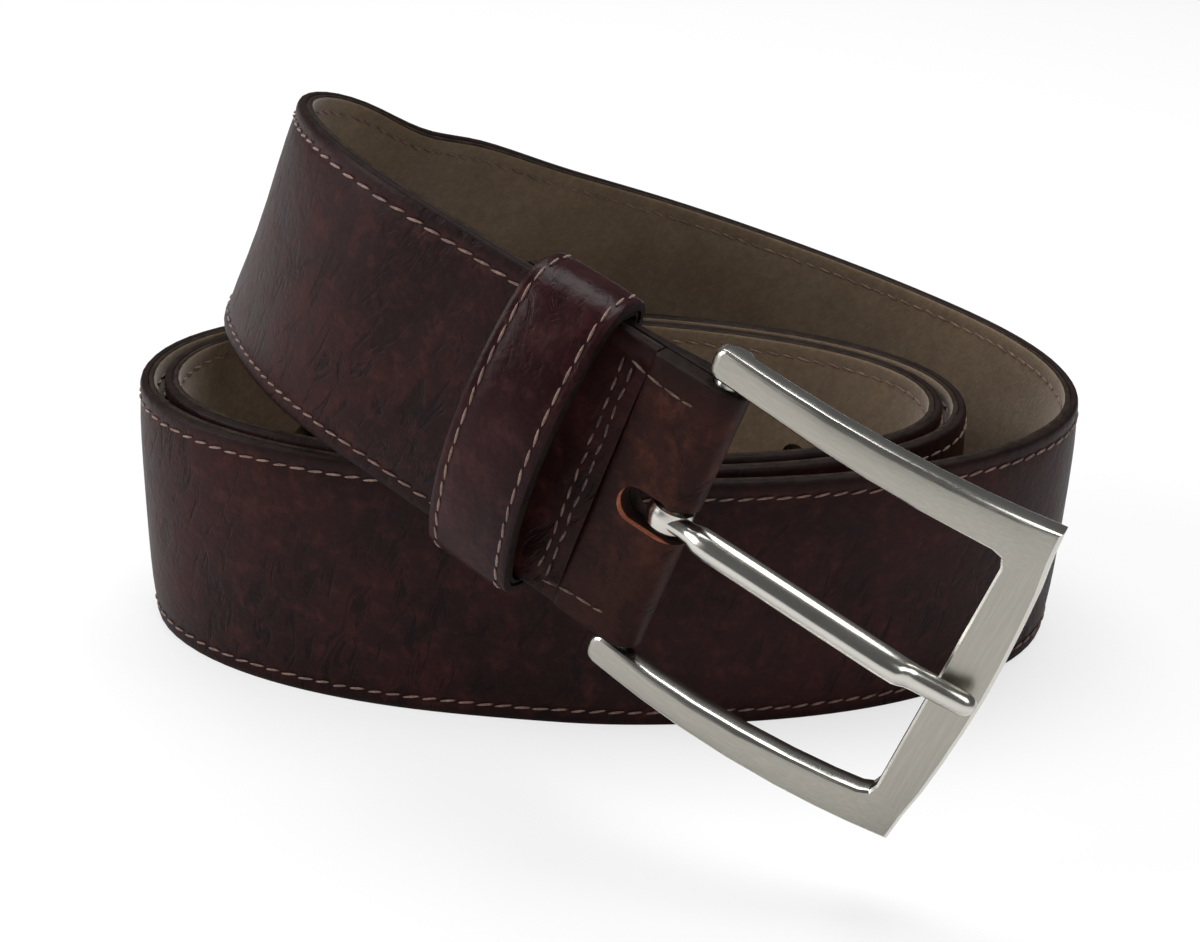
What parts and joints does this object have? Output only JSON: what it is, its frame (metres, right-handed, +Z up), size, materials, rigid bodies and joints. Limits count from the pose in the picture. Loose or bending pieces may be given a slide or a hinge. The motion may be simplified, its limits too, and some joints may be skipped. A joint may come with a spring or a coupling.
{
  "type": "leather belt",
  "caption": "Coiled leather dress belt with stitched edges, a stapled keeper and a hinged frame buckle with a prong.",
  "frame": {"origin": "middle of the belt's box, at the surface the coil stands on", "axes": "+Z up, +X to the right along the coil's long side, -Y towards the side the buckle hangs on"},
  "size_m": [0.1288, 0.1064, 0.0732],
  "materials": {
    "face_leather": "smooth full-grain leather, semi-matt",
    "fold_leather": "smooth leather, redder where it folds",
    "filler": "bonded leather fibre, sealed inside",
    "lining_leather": "matt nubuck-like split leather",
    "keeper_leather": "smooth leather with a slight shine",
    "keeper_lining": "dark matt leather",
    "thread": "thin waxed polyester thread",
    "nickel": "satin nickel with polished bevels"
  },
  "bodies": {
    "strap": {"strap_face": "face_leather", "strap_core": "filler", "strap_lining": "lining_leather", "outer_edge_stitching": "thread", "inner_edge_stitching": "thread", "buckle_fold": "fold_leather", "cross_stitching": "thread"},
    "keeper": {"keeper_band": "keeper_leather", "keeper_lining": "keeper_lining", "keeper_stitching": "thread", "keeper_staple": "nickel"},
    "buckle": {"buckle_frame": "nickel", "buckle_bar": "nickel"},
    "prong": {"prong": "nickel"}
  },
  "joints": [
    {"name": "keeper_slide", "type": "slide", "parent": "strap", "child": "keeper", "axis": [0.8175, -0.4912, -0.3007], "range_m": [-0.003, 0.003]},
    {"name": "buckle_swing", "type": "hinge", "parent": "strap", "child": "buckle", "pos_m": [0.0065, -0.0335, 0.0402], "axis": [0.2974, -0.0871, 0.9508], "range_deg": [-106, 14]},
    {"name": "prong_swing", "type": "hinge", "parent": "buckle", "child": "prong", "pos_m": [0.0065, -0.0335, 0.0402], "axis": [-0.2974, 0.0871, -0.9508], "range_deg": [0, 118]}
  ]
}
